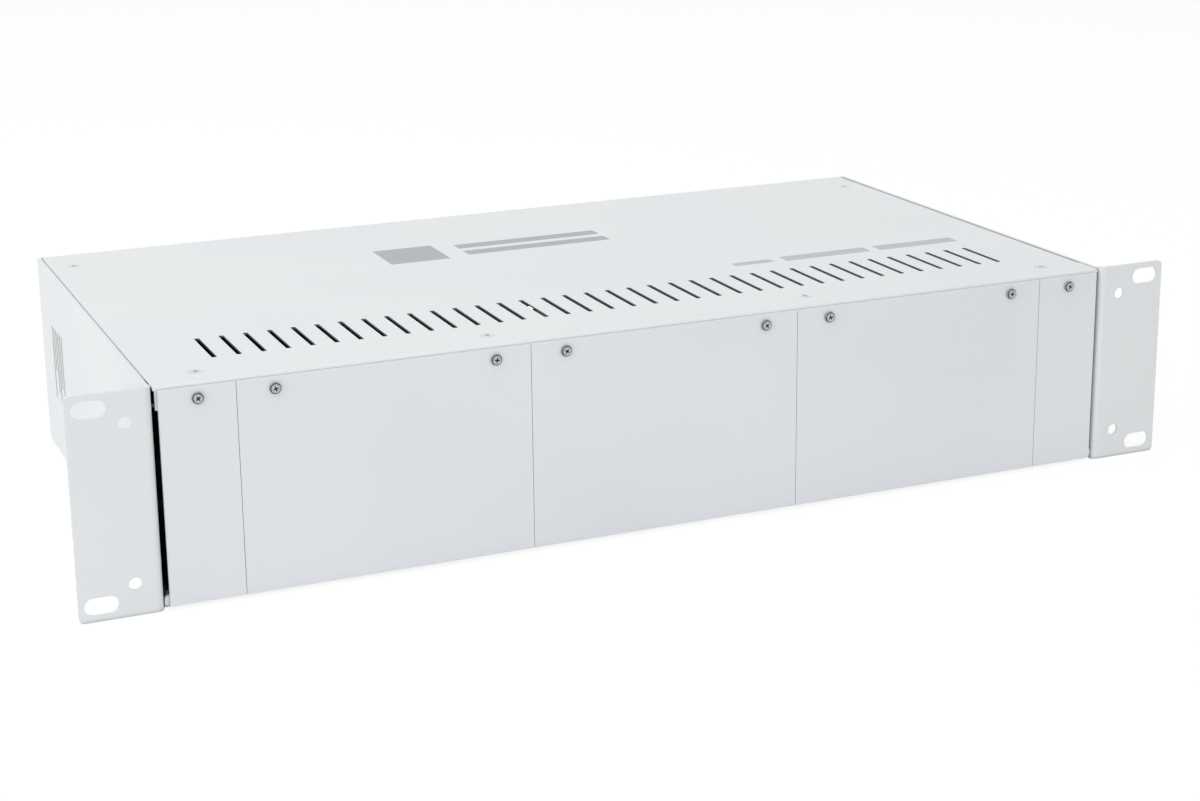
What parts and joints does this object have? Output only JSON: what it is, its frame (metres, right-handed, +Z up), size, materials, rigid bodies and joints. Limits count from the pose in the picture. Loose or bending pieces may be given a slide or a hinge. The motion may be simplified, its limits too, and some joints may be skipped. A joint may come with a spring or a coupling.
{
  "type": "subrack card cage",
  "caption": "Two-unit rack card cage in white folded steel with blanked card slots, a vented cover, rear power modules and fans.",
  "frame": {"origin": "midway between the four rack slots, on the rear faces of the ears, which seat on the rack rails", "axes": "+X to the right seen from the front, +Y to the rear of the cage, +Z up"},
  "size_m": [0.4826, 0.2445, 0.0882],
  "materials": {
    "powder_coat_top": "fine white powder coat on steel sheet",
    "powder_coat_front": "fine light grey-white powder coat on steel sheet",
    "dark_zinc": "dark zinc-plated steel",
    "zinc_sheet": "zinc-plated steel sheet",
    "zinc_screw": "bright zinc-plated steel",
    "brass": "plain brass",
    "circuit_board": "glass-fibre board with green solder mask",
    "black_plastic": "moulded black thermoplastic",
    "nylon": "moulded natural nylon",
    "transformer": "yellow-taped ferrite core",
    "copper_winding": "enamelled copper winding on a steel stack",
    "capacitor_sleeve": "shrink-sleeved aluminium can",
    "aluminium_fins": "extruded aluminium",
    "red_rocker": "moulded red thermoplastic"
  },
  "bodies": {
    "cage": {"chassis_base": "powder_coat_top", "top_cover": "powder_coat_top", "rear_panel": "powder_coat_top", "left_narrow_blank": "powder_coat_front", "left_blank": "powder_coat_front", "middle_blank": "powder_coat_front", "right_blank": "powder_coat_front", "right_narrow_blank": "powder_coat_front", "blank_screws": "dark_zinc", "clinch_nuts": "zinc_screw", "cover_screws": "powder_coat_top", "lower_guide": "zinc_sheet", "upper_guide": "zinc_sheet", "power_bracket": "zinc_sheet", "bracket_screws": "zinc_screw", "power_board": "circuit_board", "board_standoffs": "brass", "board_screws": "zinc_screw", "power_plugs": "black_plastic", "module_sockets": "nylon", "left_module_rail": "zinc_sheet", "right_module_rail": "zinc_sheet", "left_module_case": "zinc_sheet", "right_module_case": "zinc_sheet", "left_module_lid": "zinc_sheet", "right_module_lid": "zinc_sheet", "left_module_face": "powder_coat_front", "right_module_face": "powder_coat_front", "left_module_board": "circuit_board", "right_module_board": "circuit_board", "left_transformer": "transformer", "right_transformer": "transformer", "left_capacitors": "capacitor_sleeve", "right_capacitors": "capacitor_sleeve", "left_heatsink": "aluminium_fins", "right_heatsink": "aluminium_fins", "left_module_plug": "nylon", "right_module_plug": "nylon", "left_inlet": "black_plastic", "right_inlet": "black_plastic", "left_switch_body": "black_plastic", "right_switch_body": "black_plastic", "thumb_screws": "zinc_screw", "left_fan_frame": "black_plastic", "right_fan_frame": "black_plastic", "fan_stators": "copper_winding", "left_fan_guard": "zinc_screw", "right_fan_guard": "zinc_screw", "fan_screws": "zinc_screw", "fan_nuts": "zinc_screw", "ground_stud": "brass"},
    "left_rocker": {"left_rocker": "red_rocker"},
    "right_rocker": {"right_rocker": "red_rocker"},
    "left_fan_rotor": {"left_fan_rotor": "black_plastic"},
    "right_fan_rotor": {"right_fan_rotor": "black_plastic"}
  },
  "joints": [
    {"name": "left_fan_spin", "type": "hinge", "parent": "cage", "child": "left_fan_rotor", "pos_m": [-0.0455, 0.2138, 0], "axis": [0, 1, 0], "continuous": true},
    {"name": "right_fan_spin", "type": "hinge", "parent": "cage", "child": "right_fan_rotor", "pos_m": [0.0455, 0.2138, 0], "axis": [0, 1, 0], "continuous": true},
    {"name": "left_switch", "type": "hinge", "parent": "cage", "child": "left_rocker", "pos_m": [-0.128, 0.229, -0.014], "axis": [-1, 0, 0], "range_deg": [0, 16]},
    {"name": "right_switch", "type": "hinge", "parent": "cage", "child": "right_rocker", "pos_m": [0.128, 0.229, -0.014], "axis": [-1, 0, 0], "range_deg": [0, 16]}
  ]
}
